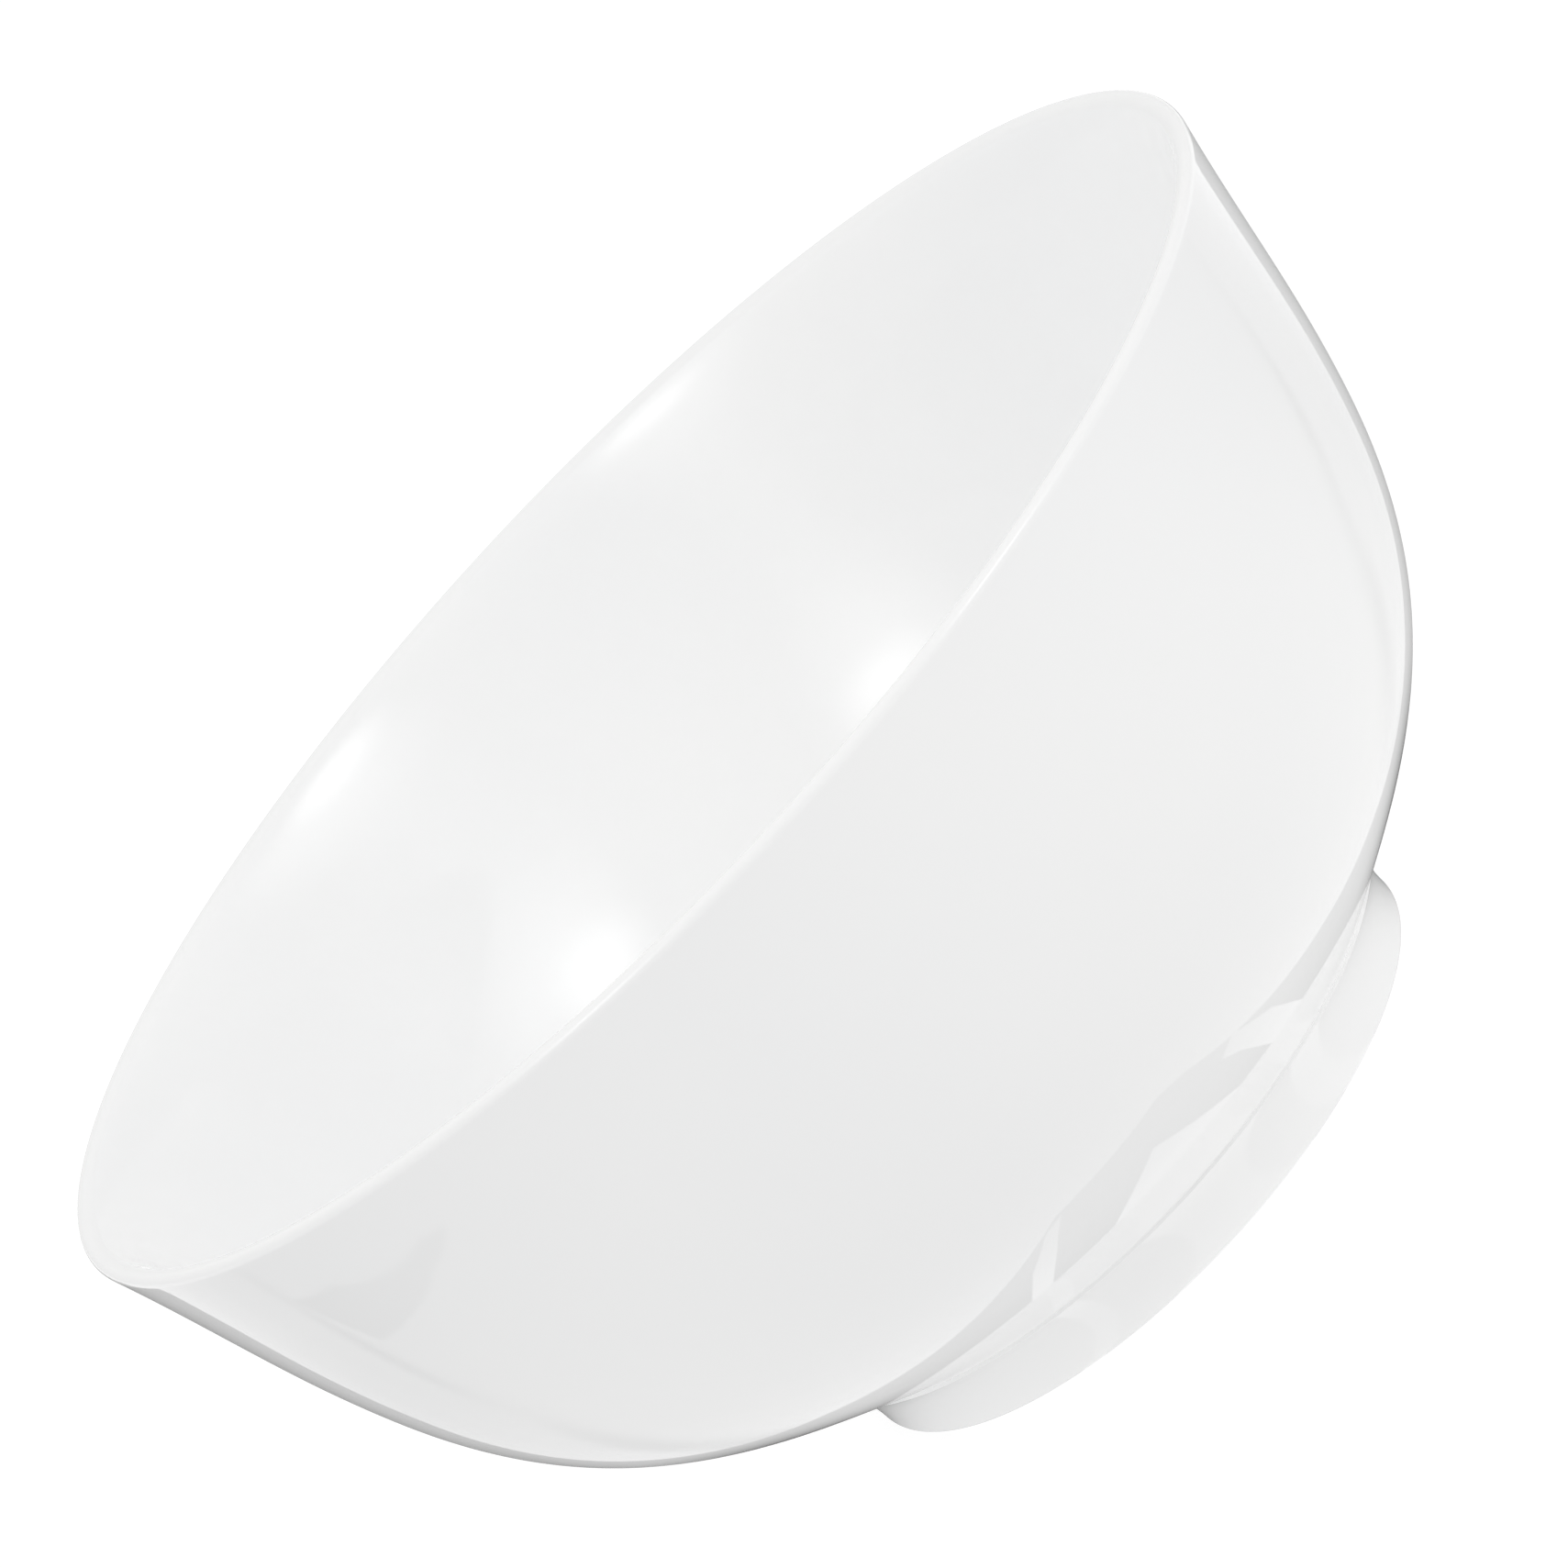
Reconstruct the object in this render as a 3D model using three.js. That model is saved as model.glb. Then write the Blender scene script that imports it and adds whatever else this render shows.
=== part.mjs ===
// Porcelain salad bowl: a vessel with a rounded lip, the foot ring that it stands on, and the thin
// ring of slip that lutes the two together. Every piece is a section turned about the upright axis.
// Millimetres and degrees, +Z up, origin at the centre of the standing face.
import * as THREE from 'three';

// Overall
const RIM_DIAMETER = 210; // over the outside of the lip
const BOWL_HEIGHT = 100.6; // standing face to the top of the lip
const SIDES = 72; // facets round each turned piece

// Lip and wall. A lean is the wall's angle from upright.
const LIP_OUTER_RADIUS = 1.1;
const LIP_INNER_RADIUS = 2.2;
const LIP_LEAN = 14.2; // of the outer wall at the lip
const INNER_LIP_LEAN = 30; // of the inner wall, which eases out to the lip
const BELLY_DIAMETER = 189.5; // where the leaning wall begins its turn to the foot
const BELLY_HEIGHT = 56.7;
const BELLY_LEAN = 18.1;
const BELLY_THICKNESS = 4;

// Underside, floor and the recess over the foot
const UNDERSIDE_LEAN = 54; // where the underside meets the foot
const FLOOR_THICKNESS = 4.6; // at the axis
const RECESS_RISE = 0.8; // of the floor's underside, from the foot to the axis

// Foot ring: upright at the standing edge, flaring to the luted seat on both sides
const FOOT_DIAMETER = 100.7; // over the standing edge
const SEAT_DIAMETER = 108.4; // at the crease under the bowl
const FOOT_HEIGHT = 11; // standing face to the crease
const SEAT_WIDTH = 12.2; // of the luted joint
const STANDING_WIDTH = 4; // of the flat band that the bowl rests on
const FOOT_EDGE_RADIUS = 0.6; // both edges of the standing band
const FLARE_LEAN = 48; // of the foot's walls at the seat

// Luted joint
const SLIP_THICKNESS = 0.5;
const SLIP_SETBACK = 0.2; // of the slip from the seat's edges, the fine line in the crease

// How far a curve follows its end tangents, as a share of the distance between its ends
const WALL_PULL = 0.36;
const INNER_LIP_PULL = 0.2;
const BELLY_PULL = 0.48;
const UNDERSIDE_PULL = 0.31;
const INNER_BELLY_PULL = 0.38;
const FLOOR_PULL = 0.52;
const FLARE_PULL = 0.36;

const UPRIGHT = 0; // lean of an upright surface
const LEVEL = 90; // lean of a level surface

const glaze = { color: 0xeeeeee, roughness: 0.08, metalness: 0 };
const bareClay = { color: 0xe4e2dd, roughness: 0.75, metalness: 0 };

// A point of a section: distance from the axis and height.
const at = (radius, height) => new THREE.Vector2(radius, height);

const radians = THREE.MathUtils.degToRad;

// Down along a wall, at the given lean.
const downWall = (lean) => at(-Math.sin(radians(lean)), -Math.cos(radians(lean)));

// Square to a wall, out of its outer side.
const outOfWall = (lean) => at(Math.cos(radians(lean)), -Math.sin(radians(lean)));

// The point a distance from another along a direction.
const along = (start, direction, distance) => start.clone().addScaledVector(direction, distance);

// Points of a curve going down a wall, with its lean and pull at each end.
function wallCurve(top, topLean, topPull, foot, footLean, footPull, steps) {
  const span = top.distanceTo(foot);
  const afterTop = along(top, downWall(topLean), topPull * span);
  const beforeFoot = along(foot, downWall(footLean), -footPull * span);
  return new THREE.CubicBezierCurve(top, afterTop, beforeFoot, foot).getPoints(steps);
}

// Points of an arc about a centre, anticlockwise from one angle to another.
function arc(centre, radius, fromAngle, toAngle, steps) {
  const turn = new THREE.EllipseCurve(
    centre.x, centre.y, radius, radius, radians(fromAngle), radians(toAngle),
  );
  return turn.getPoints(steps);
}

// Leaves out each point that repeats the one before it.
const withoutRepeats = (points) => points.filter(
  (point, i) => i === 0 || point.distanceTo(points[i - 1]) > 1e-6,
);

// A named solid: a section, listed anticlockwise, turned about the upright axis.
function turned(name, section, finish) {
  const geometry = new THREE.LatheGeometry(withoutRepeats(section), SIDES);
  geometry.rotateX(Math.PI / 2);
  const mesh = new THREE.Mesh(geometry, new THREE.MeshStandardMaterial(finish));
  mesh.name = name;
  return mesh;
}

// The luted joint, shared by all three pieces
const seatRadius = SEAT_DIAMETER / 2;
const seatInnerRadius = seatRadius - SEAT_WIDTH;
const footTop = FOOT_HEIGHT - SLIP_THICKNESS;

function bowlBody() {
  const lipTop = at(RIM_DIAMETER / 2 - LIP_OUTER_RADIUS, BOWL_HEIGHT);
  const outerCentre = at(lipTop.x, lipTop.y - LIP_OUTER_RADIUS);
  const innerCentre = at(lipTop.x, lipTop.y - LIP_INNER_RADIUS);
  const outerLip = along(outerCentre, outOfWall(LIP_LEAN), LIP_OUTER_RADIUS);
  const innerLip = along(innerCentre, outOfWall(INNER_LIP_LEAN), -LIP_INNER_RADIUS);
  const outerBelly = at(BELLY_DIAMETER / 2, BELLY_HEIGHT);
  const innerBelly = along(outerBelly, outOfWall(BELLY_LEAN), -BELLY_THICKNESS);
  const crease = at(seatRadius, FOOT_HEIGHT);
  const recessTop = FOOT_HEIGHT + RECESS_RISE;
  const floorCentre = at(0, recessTop + FLOOR_THICKNESS);

  // The recess is a shallow dome from the axis out to the seat, level at the axis.
  const recess = new THREE.QuadraticBezierCurve(
    at(0, recessTop), at(seatInnerRadius / 2, recessTop), at(seatInnerRadius, FOOT_HEIGHT),
  );
  const outerWall = [
    ...wallCurve(outerLip, LIP_LEAN, WALL_PULL, outerBelly, BELLY_LEAN, WALL_PULL, 5),
    ...wallCurve(outerBelly, BELLY_LEAN, BELLY_PULL, crease, UNDERSIDE_LEAN, UNDERSIDE_PULL, 10),
  ];
  const innerWall = [
    ...wallCurve(innerLip, INNER_LIP_LEAN, INNER_LIP_PULL, innerBelly, BELLY_LEAN, WALL_PULL, 8),
    ...wallCurve(innerBelly, BELLY_LEAN, INNER_BELLY_PULL, floorCentre, LEVEL, FLOOR_PULL, 12),
  ];
  return turned('bowl_body', [
    ...recess.getPoints(4),
    ...outerWall.reverse(),
    ...arc(outerCentre, LIP_OUTER_RADIUS, 0, 90, 4),
    ...arc(innerCentre, LIP_INNER_RADIUS, 90, 180 - INNER_LIP_LEAN, 4),
    ...innerWall,
  ], glaze);
}

function footRing() {
  const edge = FOOT_EDGE_RADIUS;
  const outerEdge = at(FOOT_DIAMETER / 2 - edge, edge);
  const innerEdge = at(outerEdge.x - STANDING_WIDTH, edge);
  const outerTop = at(seatRadius, footTop);
  const innerTop = at(seatInnerRadius, footTop);
  const outerFoot = along(outerEdge, outOfWall(UPRIGHT), edge);
  const innerFoot = along(innerEdge, outOfWall(UPRIGHT), -edge);
  const outerWall = wallCurve(outerTop, FLARE_LEAN, FLARE_PULL, outerFoot, UPRIGHT, FLARE_PULL, 6);
  const innerWall = wallCurve(innerTop, -FLARE_LEAN, FLARE_PULL, innerFoot, UPRIGHT, FLARE_PULL, 6);
  return turned('foot_ring', [
    ...arc(innerEdge, edge, 180, 270, 3),
    ...arc(outerEdge, edge, -90, 0, 4),
    ...outerWall.reverse(),
    ...innerWall,
  ], glaze);
}

function lutingSlip() {
  const inner = seatInnerRadius + SLIP_SETBACK;
  const outer = seatRadius - SLIP_SETBACK;
  return turned('luting_slip', [
    at(inner, footTop),
    at(outer, footTop),
    at(outer, FOOT_HEIGHT),
    at(inner, FOOT_HEIGHT),
    at(inner, footTop),
  ], bareClay);
}

const bowl = new THREE.Group();
bowl.add(bowlBody(), footRing(), lutingSlip());

export default bowl;
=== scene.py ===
"""White porcelain salad bowl on a pale table in soft studio light, in metres, +Z up."""

import math

import bmesh
import bpy
from mathutils import Matrix, Quaternion, Vector


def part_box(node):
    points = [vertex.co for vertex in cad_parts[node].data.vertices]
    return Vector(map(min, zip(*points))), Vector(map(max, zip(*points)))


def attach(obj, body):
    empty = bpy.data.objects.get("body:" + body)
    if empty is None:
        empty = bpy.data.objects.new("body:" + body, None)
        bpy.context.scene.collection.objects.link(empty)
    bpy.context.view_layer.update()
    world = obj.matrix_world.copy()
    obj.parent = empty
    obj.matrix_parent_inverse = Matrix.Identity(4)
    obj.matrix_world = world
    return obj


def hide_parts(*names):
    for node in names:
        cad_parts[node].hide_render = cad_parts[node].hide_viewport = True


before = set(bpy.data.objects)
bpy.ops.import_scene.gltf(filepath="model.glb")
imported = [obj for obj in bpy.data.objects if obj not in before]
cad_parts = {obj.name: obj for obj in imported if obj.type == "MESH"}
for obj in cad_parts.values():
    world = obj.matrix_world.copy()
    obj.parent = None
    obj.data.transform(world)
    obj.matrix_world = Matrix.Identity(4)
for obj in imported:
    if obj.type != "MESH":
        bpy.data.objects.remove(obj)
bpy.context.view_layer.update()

MM = 0.001

# Sizes that the frame gives
body_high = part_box("bowl_body")[1]
foot_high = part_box("foot_ring")[1]
slip_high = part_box("luting_slip")[1]
RIM_RADIUS = body_high.x
BOWL_HEIGHT = body_high.z
SEAT_RADIUS = foot_high.x
FOOT_TOP = foot_high.z
CREASE_HEIGHT = slip_high.z
SLIP_RADIUS = slip_high.x

# Lip and wall. A lean is the wall's angle from upright, in degrees.
UPRIGHT = 0.0
FLAT = 90.0
LIP_OUTER_RADIUS = 1.1 * MM
LIP_INNER_RADIUS = 2.2 * MM
LIP_LEAN = 14.2
INNER_LIP_LEAN = 30.0
BELLY_RADIUS = 94.75 * MM
BELLY_HEIGHT = 56.7 * MM
BELLY_LEAN = 18.1
BELLY_THICKNESS = 4.0 * MM
UNDERSIDE_LEAN = 54.0
FLOOR_THICKNESS = 4.6 * MM
RECESS_RISE = 0.8 * MM

# Foot and joint
FOOT_RADIUS = 50.35 * MM
SEAT_WIDTH = 12.2 * MM
STANDING_WIDTH = 4.0 * MM
FOOT_EDGE = 0.6 * MM
FLARE_LEAN = 48.0
CREASE_EDGE = 0.06 * MM  # softened edges on both sides of the joint
JOINT_TOP_SETBACK = 0.03 * MM  # of the joint's face from the crease
JOINT_FOOT_SETBACK = 0.06 * MM
JOINT_LINE = 0.2 * MM  # of the joint left in sight, where the foot's edge is squeezed up to it

# How far a curve follows its end tangents, as a share of the distance between its ends
WALL_PULL = 0.36
INNER_LIP_PULL = 0.2
BELLY_PULL = 0.48
UNDERSIDE_PULL = 0.31
INNER_BELLY_PULL = 0.38
FLOOR_PULL = 0.52
FLARE_PULL = 0.36

# Fineness: faces round a turned piece and along each stretch of its section
FACETS = 288
WALL_STEPS = 32
UNDERSIDE_STEPS = 64
INNER_WALL_STEPS = 48
FLOOR_STEPS = 80
RECESS_STEPS = 24
LIP_OUTER_STEPS = 24
LIP_INNER_STEPS = 48
FLARE_STEPS = 32
FOOT_EDGE_STEPS = 8
BOWL_CREASE_STEPS = 4
FOOT_CREASE_STEPS = 6
SAME_POINT = 1e-7  # closer points are one
SHARP_ANGLE = 35  # between faces, in degrees: wider edges stay crisp

# Camera, set by the photograph: it looks at a point near the middle of the bowl's mouth
PICTURE_SIZE = 1709
SENSOR = 36 * MM
FOCAL_PIXELS = 6753.4
CAMERA_DISTANCE = 827.9 * MM  # from the middle of the rim
CAMERA_ELEVATION = 14.57
CAMERA_YAW = 0.278
CAMERA_PITCH = -1.888
CAMERA_ROLL = -47.30
CLIP_START = 0.01
CLIP_END = 20

# Noises are given by scale, in features a metre, detail and, for some, roughness.
NOISE_LOW = 0.3  # most of a noise lies between these
NOISE_HIGH = 0.7

# Glaze
GLAZE_IOR = 1.5
GLAZE_COOL = (0.925, 0.928, 0.93)
GLAZE_WARM = (0.945, 0.945, 0.942)
CLOUDS = (14, 3)
GLAZE_THIN = (0.888, 0.888, 0.885)  # where it draws back over the lip
LIP_THINNING = 1.2 * MM
GLAZE_SMOOTH = 0.015
GLAZE_DULL = 0.04
DULL_PATCHES = (60, 4)
SWELLS = (25, 1)
SWELL_DEPTH = 0.06 * MM
SKIN_RIPPLES = (500, 2)
SKIN_DEPTH = 0.0006 * MM
SPECK_COLOUR = (0.42, 0.39, 0.35)
SPECK_CELLS = 55.0  # a metre
SPECK_RARITY = 0.9  # share of the cells that have none
SPECK_REACH = 0.02  # of a cell
SPECK_EDGE = SPECK_REACH / 3

# Bare clay
CLAY_IOR = 1.4
CLAY_DARK = (0.80, 0.79, 0.765)
CLAY_LIGHT = (0.87, 0.862, 0.84)
CLAY_MOTTLES = (900, 5, 0.65)
CLAY_SMOOTH = 0.7
CLAY_DULL = 0.9
CLAY_PATCHES = (400, 3)
GRAINS = (2500, 3, 0.7)
GRAIN_DEPTH = 0.02 * MM
BARE_HEIGHT = 0.02 * MM  # the standing face is lower than this

# Room and lamps. A level of 1 is white, and azimuths turn from the front to the right.
ROOM_EVEN = 0.19
ROOM_SIDES = (  # more of it from each side: azimuth, elevation and level
    (0, 90, 0.38),
    (-90, 20, 0.475),
    (90, 20, 0.52),
    (180, 20, 0.29),
)
ROOM_MIRRORED_BACK = 0.80  # as the glaze mirrors it
ROOM_BACK_START = 0.0  # a direction's share toward the back, where that sets in
ROOM_BACK_FULL = 0.6  # and where it is full
LAMP_DISTANCE = 1.3
LAMP_POWER = 4  # watts a square metre, for a level of 1
LAMPS = (  # name, azimuth, elevation, tilt, width, height and level
    ("left_lamp", -38, 37.5, 14, 0.65, 0.52, 1.72),
    ("left_lamp_glow", -41, 35.8, 9, 1.07, 1.66, 1.20),
    ("right_lamp", 47.4, 32.7, 20, 0.74, 0.61, 2.30),
    ("right_lamp_glow", 51.2, 23.5, 13, 1.48, 0.83, 1.28),
)
MIRRORED = ("Is Glossy Ray", "Is Transmission Ray")
MIRRORINGS = 32  # the glaze mirrors itself again and again along the lip

# Table
TABLE_SIZE = 6
TABLE_SQUARES = 24  # along each side: small faces keep the thin gaps above them exact
TABLE_GAP = 0.05 * MM  # under the standing face
TABLE_LEFT_GLOW = 0.80
TABLE_RIGHT_GLOW = 0.945
TABLE_REACH = 0.14  # of the change from left to right
POOL_GLOW = 0.13  # more of it close to the foot: a painted pool of light where the bowl shades the table
POOL_START = 60 * MM
POOL_END = 140 * MM
TABLE_SEEN_COLOUR = 0.35  # keeps the bowl's shadow
TABLE_SEEN_GLOW = 0.72

# Sheets that only the glaze mirrors, flat on the table, for painted shade and light in its
# reflection: mm from the bowl's axis, and degrees
SHADES = (  # name, place, reach, turn, darkness and lift
    ("left_shade", (-235, 20), (200, 225), 0, 0.44, 0.006),
    ("left_line", (-204, 42), (90, 10), -32, 0.42, 0.011),
    ("left_bend", (-105, -5), (60, 13), -14, 0.30, 0.016),
    ("right_shade", (235, 30), (200, 215), 0, 0.46, 0.006),
    ("right_line", (190, 36), (95, 10), 37.5, 0.42, 0.011),
    ("right_bend", (115, -8), (60, 13), 20, 0.30, 0.016),
    ("left_foot_shade", (-60, 18), (34, 46), 0, 0.95, 0.034),
    ("right_foot_shade", (60, 18), (34, 46), 0, 0.95, 0.034),
)
CARD_FRONT = -70 * MM  # where a card has its first level
CARD_BACK = 60 * MM  # and its second
DARK_CARD_LEFT = (
    (0, 580), (-440, 580), (-206, 172), (-148, 86), (-94, 16), (-62, -24),
    (-45, -41), (-30, -57), (-17, -71), (-8, -73), (0, -74.5),
)
DARK_CARD_RIGHT = (
    (0, -74.5), (9, -76), (15, -73), (30, -58), (45, -44), (62, -26),
    (97, 17), (143, 88), (199, 177), (440, 580), (0, 580),
)
WEDGE_CARD = (
    (-199, -80), (-206, -50), (-208, -10), (-208, 28),
    (-232, 54), (-230, 14), (-218, -30), (-208, -62),
)
LIGHT_CARD_FRONT = ((2, -62.5), (18, -46), (-11, -48))
LIGHT_CARD_LEFT = ((-26.5, -41), (-24.5, -55), (-20, -67), (-16, -70), (-18, -64), (-22.5, -44))
LIGHT_CARD_RIGHT = ((25, -42), (22, -56), (19.5, -62), (24, -64.5), (30, -53), (32.5, -37))
# the dark and wedge cards are painted shade and the light cards painted light, seen only in the
# glaze's reflection
CARDS = (  # name, outline, levels at the front and behind the bowl, and lift
    ("left_dark_card", DARK_CARD_LEFT, 0.60, 0.28, 0.026),
    ("right_dark_card", DARK_CARD_RIGHT, 0.60, 0.42, 0.026),
    ("wedge_card", WEDGE_CARD, 0.30, 0.30, 0.021),
    ("light_card", LIGHT_CARD_FRONT, 0.97, 0.97, 0.032),
    ("light_card", LIGHT_CARD_LEFT, 0.97, 0.97, 0.032),
    ("light_card", LIGHT_CARD_RIGHT, 0.97, 0.97, 0.032),
)


def at(radius, height):
    """A point of a section: distance from the axis and height."""
    return Vector((radius, height))


def down_wall(lean):
    """The direction down a wall of this lean."""
    angle = math.radians(lean)
    return at(-math.sin(angle), -math.cos(angle))


def out_of_wall(lean):
    """The direction straight out of a wall of this lean."""
    angle = math.radians(lean)
    return at(math.cos(angle), -math.sin(angle))


def wall_curve(top, top_lean, top_pull, foot, foot_lean, foot_pull, steps):
    """Points of a curve going down a wall, with its lean and pull at each end."""
    span = (foot - top).length
    after_top = top + down_wall(top_lean) * top_pull * span
    before_foot = foot - down_wall(foot_lean) * foot_pull * span
    points = []
    for i in range(steps + 1):
        t = i / steps
        u = 1 - t
        points.append(
            u**3 * top + 3 * u * u * t * after_top + 3 * u * t * t * before_foot + t**3 * foot
        )
    return points


def arc(centre, radius, start, end, steps):
    """Points of an arc about a centre, from one angle to another in degrees."""
    points = []
    for i in range(steps + 1):
        angle = math.radians(start + (end - start) * i / steps)
        points.append(centre + radius * at(math.cos(angle), math.sin(angle)))
    return points


def rounded(before, corner, after, radius, steps):
    """Points of a small round in a corner, between the points before and after it."""
    back = (before - corner).normalized()
    on = (after - corner).normalized()
    half = back.angle(on) / 2
    centre = corner + (back + on).normalized() * radius / math.sin(half)
    reach = radius / math.tan(half)
    start = corner + back * reach - centre
    turn = start.angle_signed(corner + on * reach - centre)
    points = []
    for i in range(steps + 1):
        angle = -turn * i / steps
        cos, sin = math.cos(angle), math.sin(angle)
        points.append(centre + at(start.x * cos - start.y * sin, start.x * sin + start.y * cos))
    return points


def bowl_section():
    """The vessel, from the axis out along its underside, over the lip and in to its floor."""
    lip_top = at(RIM_RADIUS - LIP_OUTER_RADIUS, BOWL_HEIGHT)
    outer_centre = lip_top - at(0, LIP_OUTER_RADIUS)
    inner_centre = lip_top - at(0, LIP_INNER_RADIUS)
    outer_lip = outer_centre + out_of_wall(LIP_LEAN) * LIP_OUTER_RADIUS
    inner_lip = inner_centre - out_of_wall(INNER_LIP_LEAN) * LIP_INNER_RADIUS
    outer_belly = at(BELLY_RADIUS, BELLY_HEIGHT)
    inner_belly = outer_belly - out_of_wall(BELLY_LEAN) * BELLY_THICKNESS
    crease = at(SEAT_RADIUS, CREASE_HEIGHT)
    seat_inner = at(SEAT_RADIUS - SEAT_WIDTH, CREASE_HEIGHT)
    recess_top = at(0, CREASE_HEIGHT + RECESS_RISE)
    floor_centre = at(0, recess_top.y + FLOOR_THICKNESS)
    recess_bend = at(seat_inner.x / 2, recess_top.y)
    recess = []
    for i in range(RECESS_STEPS + 1):
        t = i / RECESS_STEPS
        recess.append(
            (1 - t) ** 2 * recess_top + 2 * t * (1 - t) * recess_bend + t * t * seat_inner
        )
    outer = wall_curve(
        outer_lip, LIP_LEAN, WALL_PULL,
        outer_belly, BELLY_LEAN, WALL_PULL, WALL_STEPS,
    )
    outer += wall_curve(
        outer_belly, BELLY_LEAN, BELLY_PULL,
        crease, UNDERSIDE_LEAN, UNDERSIDE_PULL, UNDERSIDE_STEPS,
    )[1:]
    inner = wall_curve(
        inner_lip, INNER_LIP_LEAN, INNER_LIP_PULL,
        inner_belly, BELLY_LEAN, WALL_PULL, INNER_WALL_STEPS,
    )
    inner += wall_curve(
        inner_belly, BELLY_LEAN, INNER_BELLY_PULL,
        floor_centre, FLAT, FLOOR_PULL, FLOOR_STEPS,
    )[1:]
    round_crease = rounded(seat_inner, crease, outer[-2], CREASE_EDGE, BOWL_CREASE_STEPS)
    lip = arc(outer_centre, LIP_OUTER_RADIUS, -LIP_LEAN, 90, LIP_OUTER_STEPS)
    lip += arc(inner_centre, LIP_INNER_RADIUS, 90, 180 - INNER_LIP_LEAN, LIP_INNER_STEPS)[1:]
    return recess + round_crease + outer[-2::-1] + lip + inner


def foot_section():
    """The foot ring, from its standing face up the outer flare and down the inner one."""
    outer_edge = at(FOOT_RADIUS - FOOT_EDGE, FOOT_EDGE)
    inner_edge = at(outer_edge.x - STANDING_WIDTH, FOOT_EDGE)
    outer_top = at(SEAT_RADIUS, CREASE_HEIGHT - JOINT_LINE)
    inner_top = at(SEAT_RADIUS - SEAT_WIDTH, FOOT_TOP)
    outer_foot = outer_edge + at(FOOT_EDGE, 0)
    inner_foot = inner_edge - at(FOOT_EDGE, 0)
    outer = wall_curve(
        outer_top, FLARE_LEAN, FLARE_PULL,
        outer_foot, UPRIGHT, FLARE_PULL, FLARE_STEPS,
    )
    inner = wall_curve(
        inner_top, -FLARE_LEAN, FLARE_PULL,
        inner_foot, UPRIGHT, FLARE_PULL, FLARE_STEPS,
    )
    edge = arc(inner_edge, FOOT_EDGE, 180, 270, FOOT_EDGE_STEPS)
    edge += arc(outer_edge, FOOT_EDGE, -90, 0, FOOT_EDGE_STEPS)
    outer_round = rounded(outer[1], outer_top, inner_top, CREASE_EDGE, FOOT_CREASE_STEPS)
    inner_round = rounded(outer_top, inner_top, inner[1], CREASE_EDGE, FOOT_CREASE_STEPS)
    return edge + outer[:0:-1] + outer_round + inner_round + inner[1:]


def slip_section():
    """The ring of slip in the joint, with its outer face just behind the crease."""
    inner = SEAT_RADIUS - SEAT_WIDTH + (SEAT_RADIUS - SLIP_RADIUS)
    return [
        at(inner, FOOT_TOP),
        at(SEAT_RADIUS - JOINT_FOOT_SETBACK, FOOT_TOP),
        at(SEAT_RADIUS - JOINT_TOP_SETBACK, CREASE_HEIGHT),
        at(inner, CREASE_HEIGHT),
        at(inner, FOOT_TOP),
    ]


def turned(name, section, materials, stuff_of=None):
    """A closed mesh: a section turned about the axis, with a material for each stretch of it."""
    points = [section[0]]
    for point in section[1:]:
        if (point - points[-1]).length > SAME_POINT:
            points.append(point)
    closed = (points[0] - points[-1]).length < SAME_POINT
    if closed:
        points.pop()
    mesh = bmesh.new()
    rings = []
    for point in points:
        if point.x < SAME_POINT:
            rings.append([mesh.verts.new((0, 0, point.y))] * FACETS)
            continue
        ring = []
        for k in range(FACETS):
            angle = 2 * math.pi * k / FACETS
            spot = (point.x * math.cos(angle), point.x * math.sin(angle), point.y)
            ring.append(mesh.verts.new(spot))
        rings.append(ring)
    spans = len(rings) if closed else len(rings) - 1
    for i in range(spans):
        low, high = rings[i], rings[(i + 1) % len(rings)]
        middle = (points[i] + points[(i + 1) % len(points)]) / 2
        for k in range(FACETS):
            after = (k + 1) % FACETS
            corners = [low[k], low[after], high[after], high[k]]
            face = mesh.faces.new(list(dict.fromkeys(corners)))  # a triangle at the axis
            face.smooth = True
            face.material_index = stuff_of(middle) if stuff_of else 0
    bmesh.ops.recalc_face_normals(mesh, faces=mesh.faces)
    data = bpy.data.meshes.new(name)
    mesh.to_mesh(data)
    mesh.free()
    data.set_sharp_from_angle(angle=math.radians(SHARP_ANGLE))
    piece = bpy.data.objects.new(name, data)
    bpy.context.scene.collection.objects.link(piece)
    for material in materials:
        data.materials.append(material)
    return piece


def new_material(name):
    """A material, its node tree and its shader."""
    material = bpy.data.materials.new(name)
    material.use_nodes = True
    tree = material.node_tree
    return material, tree, tree.nodes["Principled BSDF"]


def unshaded_material(name):
    """A material without a shader, its node tree and the socket that a shader goes to."""
    material, tree, shader = new_material(name)
    tree.nodes.remove(shader)
    return material, tree, tree.nodes["Material Output"].inputs["Surface"]


def add_node(tree, kind, operation=None, **values):
    """A new node, with its operation and the values of its named inputs."""
    made = tree.nodes.new("ShaderNode" + kind)
    if operation:
        made.operation = operation
    for name, value in values.items():
        made.inputs[name].default_value = value
    return made


def coordinate(tree, kind, axis):
    """One coordinate of the place being shaded."""
    place = add_node(tree, "TexCoord")
    parts = add_node(tree, "SeparateXYZ")
    tree.links.new(place.outputs[kind], parts.inputs[0])
    return parts.outputs[axis]


def noise(tree, scale, detail, roughness=0.5):
    """Noise in the piece's own coordinates, from 0 to 1."""
    place = add_node(tree, "TexCoord")
    texture = add_node(tree, "TexNoise", Scale=scale, Detail=detail, Roughness=roughness)
    tree.links.new(place.outputs["Object"], texture.inputs["Vector"])
    return texture.outputs["Fac"]


def spread(tree, value, low, high, start=NOISE_LOW, end=NOISE_HIGH):
    """A value spread from one range to another, by default from most of a noise."""
    ranged = add_node(tree, "MapRange")
    for name, number in (
        ("From Min", start), ("From Max", end), ("To Min", low), ("To Max", high)
    ):
        ranged.inputs[name].default_value = number
    tree.links.new(value, ranged.inputs["Value"])
    return ranged.outputs["Result"]


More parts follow.
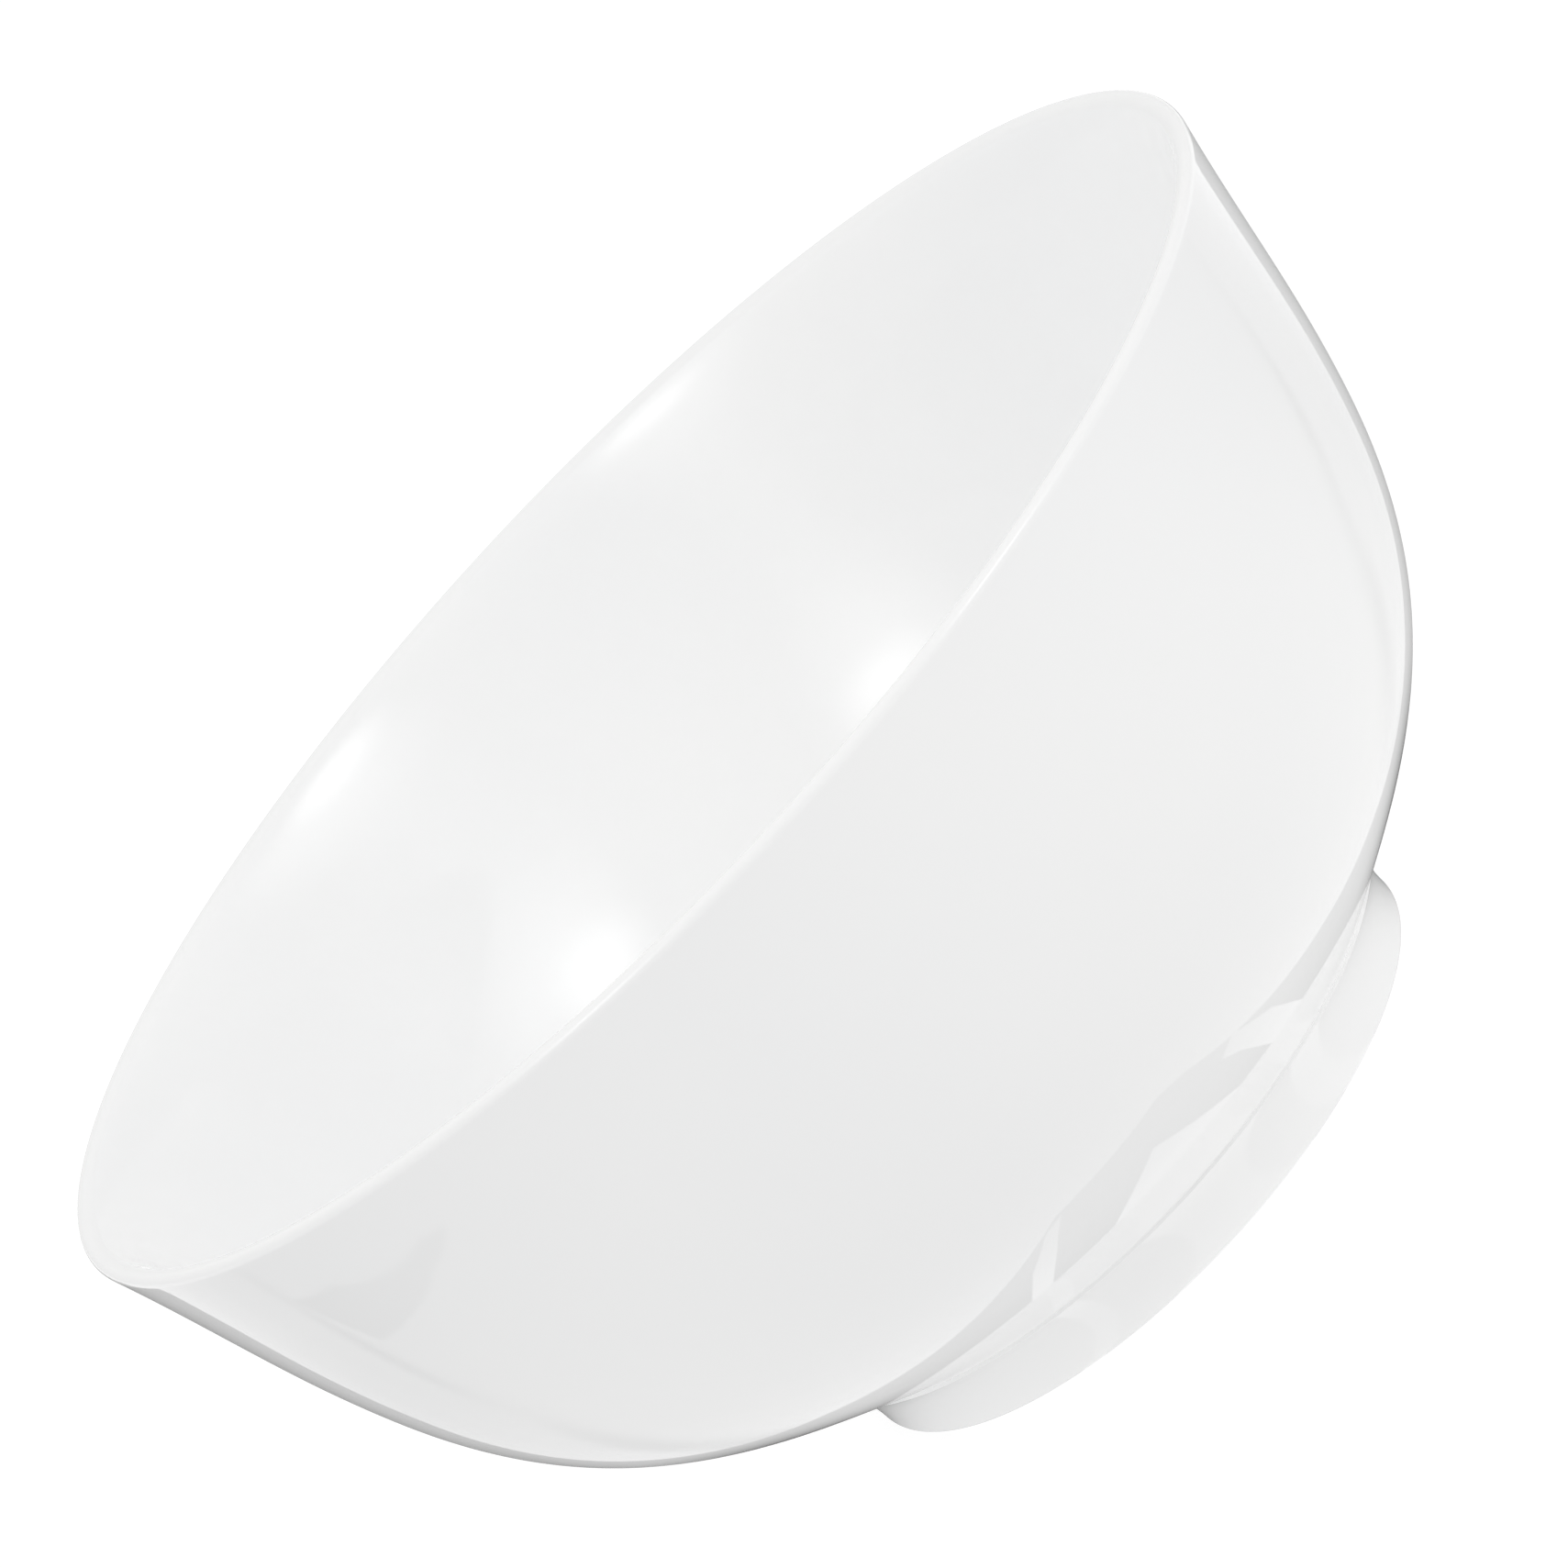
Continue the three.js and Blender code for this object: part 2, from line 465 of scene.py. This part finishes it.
def faded(tree, place, middle, most):
    """A value that is greatest in the middle of a sheet and fades to 0 at its edges."""
    offset = add_node(tree, "VectorMath", "SUBTRACT")
    offset.inputs[1].default_value = middle
    tree.links.new(place, offset.inputs[0])
    distance = add_node(tree, "VectorMath", "LENGTH")
    tree.links.new(offset.outputs["Vector"], distance.inputs[0])
    fade = spread(tree, distance.outputs["Value"], most, 0, 0, 0.5)
    fade.node.interpolation_type = "SMOOTHSTEP"
    return fade


def added(tree, value_a, value_b):
    """Two values added."""
    total = add_node(tree, "Math", "ADD")
    tree.links.new(value_a, total.inputs[0])
    tree.links.new(value_b, total.inputs[1])
    return total.outputs[0]


def either(tree, share, value_a, value_b):
    """Two values, each a socket or a number, mixed by a share."""
    mix = add_node(tree, "Mix")
    tree.links.new(share, mix.inputs[0])
    for socket, value in ((mix.inputs[2], value_a), (mix.inputs[3], value_b)):
        if isinstance(value, float):
            socket.default_value = value
        else:
            tree.links.new(value, socket)
    return mix.outputs[0]


def blended(tree, share, colour_a, colour_b):
    """Two colours, each a socket or a tuple, mixed by a share."""
    mix = add_node(tree, "Mix")
    mix.data_type = "RGBA"
    tree.links.new(share, mix.inputs[0])
    for socket, colour in ((mix.inputs[6], colour_a), (mix.inputs[7], colour_b)):
        if isinstance(colour, tuple):
            socket.default_value = (*colour, 1)
        else:
            tree.links.new(colour, socket)
    return mix.outputs[2]


def mixed(tree, share, shader_a, shader_b):
    """Two shaders mixed by a share."""
    mix = add_node(tree, "MixShader")
    tree.links.new(share, mix.inputs[0])
    tree.links.new(shader_a.outputs[0], mix.inputs[1])
    tree.links.new(shader_b.outputs[0], mix.inputs[2])
    return mix.outputs[0]


def bumped(tree, height, depth, under=None):
    """A normal bumped by a height between 0 and 1, over a depth in metres."""
    bump = add_node(tree, "Bump", Strength=1.0, Distance=depth)
    tree.links.new(height, bump.inputs["Height"])
    if under:
        tree.links.new(under, bump.inputs["Normal"])
    return bump.outputs["Normal"]


def specks(tree):
    """1 in a few tiny round iron specks, 0 elsewhere."""
    place = add_node(tree, "TexCoord")
    cells = add_node(tree, "TexVoronoi", Scale=SPECK_CELLS)
    tree.links.new(place.outputs["Object"], cells.inputs["Vector"])
    chance = add_node(tree, "SeparateColor")
    tree.links.new(cells.outputs["Color"], chance.inputs["Color"])
    reach = spread(tree, chance.outputs["Red"], 0, SPECK_REACH, SPECK_RARITY, 1)
    inside = add_node(tree, "Math", "SUBTRACT")
    tree.links.new(reach, inside.inputs[0])
    tree.links.new(cells.outputs["Distance"], inside.inputs[1])
    return spread(tree, inside.outputs[0], 0, 1, 0, SPECK_EDGE)


def glaze_material():
    """Clear gloss glaze on white porcelain: faint clouds, a few specks and an uneven skin."""
    material, tree, shader = new_material("glaze")
    shader.inputs["IOR"].default_value = GLAZE_IOR
    clouds = spread(tree, noise(tree, *CLOUDS), 0, 1)
    body = blended(tree, clouds, GLAZE_COOL, GLAZE_WARM)
    height = coordinate(tree, "Object", "Z")
    thin = spread(tree, height, 0, 1, BOWL_HEIGHT - LIP_THINNING, BOWL_HEIGHT)
    body = blended(tree, thin, body, GLAZE_THIN)
    body = blended(tree, specks(tree), body, SPECK_COLOUR)
    tree.links.new(body, shader.inputs["Base Color"])
    gloss = spread(tree, noise(tree, *DULL_PATCHES), GLAZE_SMOOTH, GLAZE_DULL)
    tree.links.new(gloss, shader.inputs["Roughness"])
    swell = bumped(tree, noise(tree, *SWELLS), SWELL_DEPTH)
    skin = bumped(tree, noise(tree, *SKIN_RIPPLES), SKIN_DEPTH, swell)
    tree.links.new(skin, shader.inputs["Normal"])
    return material


def clay_material():
    """Unglazed fired porcelain: warm off-white, matt and finely grained."""
    material, tree, shader = new_material("bare_clay")
    shader.inputs["IOR"].default_value = CLAY_IOR
    mottles = spread(tree, noise(tree, *CLAY_MOTTLES), 0, 1)
    body = blended(tree, mottles, CLAY_DARK, CLAY_LIGHT)
    tree.links.new(body, shader.inputs["Base Color"])
    matt = spread(tree, noise(tree, *CLAY_PATCHES), CLAY_SMOOTH, CLAY_DULL)
    tree.links.new(matt, shader.inputs["Roughness"])
    grain = bumped(tree, noise(tree, *GRAINS), GRAIN_DEPTH)
    tree.links.new(grain, shader.inputs["Normal"])
    return material


def pose_camera():
    """A camera at the photograph's viewing angle."""
    elevation = math.radians(CAMERA_ELEVATION)
    roll = math.radians(CAMERA_ROLL)
    rim_centre = Vector((0, 0, BOWL_HEIGHT))
    toward_rim = Vector((0, math.cos(elevation), -math.sin(elevation)))
    sideways = Vector((1, 0, 0))
    above = sideways.cross(toward_rim)
    forward = toward_rim + math.tan(math.radians(CAMERA_YAW)) * sideways
    forward = (forward + math.tan(math.radians(CAMERA_PITCH)) * above).normalized()
    right = forward.cross(above).normalized()
    up = right.cross(forward)
    picture_right = math.cos(roll) * right + math.sin(roll) * up
    picture_up = math.cos(roll) * up - math.sin(roll) * right
    axes = Matrix((picture_right, picture_up, -forward)).transposed().to_4x4()
    data = bpy.data.cameras.new("camera")
    data.sensor_width = SENSOR / MM
    data.lens = FOCAL_PIXELS / PICTURE_SIZE * SENSOR / MM
    data.clip_start = CLIP_START
    data.clip_end = CLIP_END
    camera = bpy.data.objects.new("camera", data)
    camera.matrix_world = Matrix.Translation(rim_centre - toward_rim * CAMERA_DISTANCE) @ axes
    bpy.context.scene.collection.objects.link(camera)
    bpy.context.scene.camera = camera


def rays(tree, *kinds):
    """1 for rays of these kinds, 0 for others."""
    path = add_node(tree, "LightPath")
    found = path.outputs[kinds[0]]
    for kind in kinds[1:]:
        larger = add_node(tree, "Math", "MAXIMUM")
        tree.links.new(found, larger.inputs[0])
        tree.links.new(path.outputs[kind], larger.inputs[1])
        found = larger.outputs[0]
    return found


def aim(azimuth, elevation):
    """The direction at an azimuth and an elevation, in degrees."""
    turn, rise = math.radians(azimuth), math.radians(elevation)
    outward = math.cos(rise)
    return Vector((math.sin(turn) * outward, -math.cos(turn) * outward, math.sin(rise)))


def light_the_room():
    """A white room: white where it is seen, and softer as light on the bowl."""
    world = bpy.data.worlds.new("studio")
    world.use_nodes = True
    bpy.context.scene.world = world
    tree = world.node_tree
    background = tree.nodes["Background"]
    background.inputs["Color"].default_value = (1, 1, 1, 1)
    direction = add_node(tree, "TexCoord").outputs["Generated"]
    gathered = add_node(tree, "Value").outputs[0]
    gathered.default_value = ROOM_EVEN
    for azimuth, elevation, most in ROOM_SIDES:
        nearness = add_node(tree, "VectorMath", "DOT_PRODUCT")
        nearness.inputs[1].default_value = aim(azimuth, elevation)
        tree.links.new(direction, nearness.inputs[0])
        gathered = added(tree, gathered, spread(tree, nearness.outputs["Value"], 0, most, 0, 1))
    backward = coordinate(tree, "Generated", "Y")
    mirrored = spread(tree, backward, 1, ROOM_MIRRORED_BACK, ROOM_BACK_START, ROOM_BACK_FULL)
    level = either(tree, rays(tree, *MIRRORED), gathered, mirrored)
    level = either(tree, rays(tree, "Is Camera Ray"), level, 1.0)
    tree.links.new(level, background.inputs["Strength"])


def soft_lamp(name, azimuth, elevation, tilt, width, height, level):
    """A lamp facing the bowl, brightest in its middle and fading to its edges."""
    data = bpy.data.lights.new(name, "AREA")
    data.shape = "RECTANGLE"
    data.size = width
    data.size_y = height
    data.energy = LAMP_POWER * width * height * level
    data.use_nodes = True
    tree = data.node_tree
    spot = add_node(tree, "NewGeometry")
    fade = faded(tree, spot.outputs["Parametric"], (0.5, 0.5, 0), 1)
    tree.links.new(fade, tree.nodes["Emission"].inputs["Strength"])
    toward = aim(azimuth, elevation)
    lamp = bpy.data.objects.new(name, data)
    lamp.location = Vector((0, 0, BELLY_HEIGHT)) + LAMP_DISTANCE * toward
    facing = toward.to_track_quat("Z", "Y") @ Quaternion((0, 0, 1), math.radians(tilt))
    lamp.rotation_euler = facing.to_euler()
    lamp.visible_camera = False
    bpy.context.scene.collection.objects.link(lamp)


def table():
    """A pale table, white where it is seen but for the bowl's shadow, and clear from below."""
    bpy.ops.mesh.primitive_grid_add(
        x_subdivisions=TABLE_SQUARES,
        y_subdivisions=TABLE_SQUARES,
        size=TABLE_SIZE,
        location=(0, 0, -TABLE_GAP),
    )
    top = bpy.context.object
    top.name = "table"
    material, tree, end = unshaded_material("table")
    seen = rays(tree, "Is Camera Ray", *MIRRORED)
    matt = add_node(tree, "BsdfDiffuse")
    tree.links.new(spread(tree, seen, 0, TABLE_SEEN_COLOUR, 0, 1), matt.inputs["Color"])
    # the table glows as light on the bowl: brighter to the right, and a painted pool of light
    # close to the foot
    across = coordinate(tree, "Object", "X")
    gathered = spread(tree, across, TABLE_LEFT_GLOW, TABLE_RIGHT_GLOW, -TABLE_REACH, TABLE_REACH)
    radius = add_node(tree, "VectorMath", "LENGTH")
    tree.links.new(add_node(tree, "TexCoord").outputs["Object"], radius.inputs[0])
    pool = spread(tree, radius.outputs["Value"], POOL_GLOW, 0, POOL_START, POOL_END)
    glow = add_node(tree, "Emission")
    level = either(tree, seen, added(tree, gathered, pool), TABLE_SEEN_GLOW)
    tree.links.new(level, glow.inputs["Strength"])
    both = add_node(tree, "AddShader")
    tree.links.new(matt.outputs[0], both.inputs[0])
    tree.links.new(glow.outputs[0], both.inputs[1])
    below = add_node(tree, "NewGeometry").outputs["Backfacing"]
    tree.links.new(mixed(tree, below, both, add_node(tree, "BsdfTransparent")), end)
    top.data.materials.append(material)


def mirrored_sheet(name, outline, lift):
    """A sheet that only the glaze mirrors, for a painted reflection, its node tree and the
    socket for its shader.
    """
    data = bpy.data.meshes.new(name)
    data.from_pydata([(x * MM, y * MM, 0) for x, y in outline], [], [range(len(outline))])
    material, tree, end = unshaded_material(name)
    data.materials.append(material)
    sheet = bpy.data.objects.new(name, data)
    sheet.location.z = lift * MM - TABLE_GAP
    sheet.visible_camera = False
    sheet.visible_diffuse = False
    sheet.visible_transmission = False
    sheet.visible_shadow = False
    bpy.context.scene.collection.objects.link(sheet)
    return sheet, tree, end


def mirrored_shade(name, place, reach, turn, darkness, lift):
    """A soft painted shade in the glaze's reflection of the table, darkest in its middle and
    fading to nothing at its edges.
    """
    reach_x, reach_y = reach
    outline = (
        (-reach_x, -reach_y), (reach_x, -reach_y), (reach_x, reach_y), (-reach_x, reach_y)
    )
    sheet, tree, end = mirrored_sheet(name, outline, lift)
    sheet.location.x, sheet.location.y = place[0] * MM, place[1] * MM
    sheet.rotation_euler.z = math.radians(turn)
    spot = add_node(tree, "TexCoord")
    fade = faded(tree, spot.outputs["Generated"], (0.5, 0.5, 0.5), darkness)
    clear = add_node(tree, "BsdfTransparent")
    dark = add_node(tree, "Emission", Strength=0.0)
    tree.links.new(mixed(tree, fade, clear, dark), end)


def mirrored_card(name, outline, front, back, lift):
    """A card of painted reflection, with one level at its front and another behind the bowl:
    dark cards are painted shade, light cards painted light.
    """
    _, tree, end = mirrored_sheet(name, outline, lift)
    glow = add_node(tree, "Emission")
    level = spread(tree, coordinate(tree, "Object", "Y"), front, back, CARD_FRONT, CARD_BACK)
    tree.links.new(level, glow.inputs["Strength"])
    tree.links.new(glow.outputs[0], end)


glaze = glaze_material()
clay = clay_material()
bowl = turned("porcelain_bowl", bowl_section(), [glaze])
foot = turned(
    "porcelain_foot", foot_section(), [glaze, clay], lambda p: 1 if p.y < BARE_HEIGHT else 0
)
slip = turned(
    "joint_line", slip_section(), [clay, glaze], lambda p: 1 if p.x > SLIP_RADIUS else 0
)
dressing = (
    (bowl, "bowl_body", "glaze"),
    (foot, "foot_ring", "glaze"),
    (slip, "luting_slip", "bare_clay"),
)
for piece, node, slot in dressing:
    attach(piece, "root")
    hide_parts(node)
pose_camera()
bpy.context.scene.view_settings.view_transform = "Standard"
bpy.context.scene.cycles.max_bounces = MIRRORINGS
bpy.context.scene.cycles.glossy_bounces = MIRRORINGS
light_the_room()
for lamp_row in LAMPS:
    soft_lamp(*lamp_row)
table()
for shade_row in SHADES:
    mirrored_shade(*shade_row)
for card_row in CARDS:
    mirrored_card(*card_row)
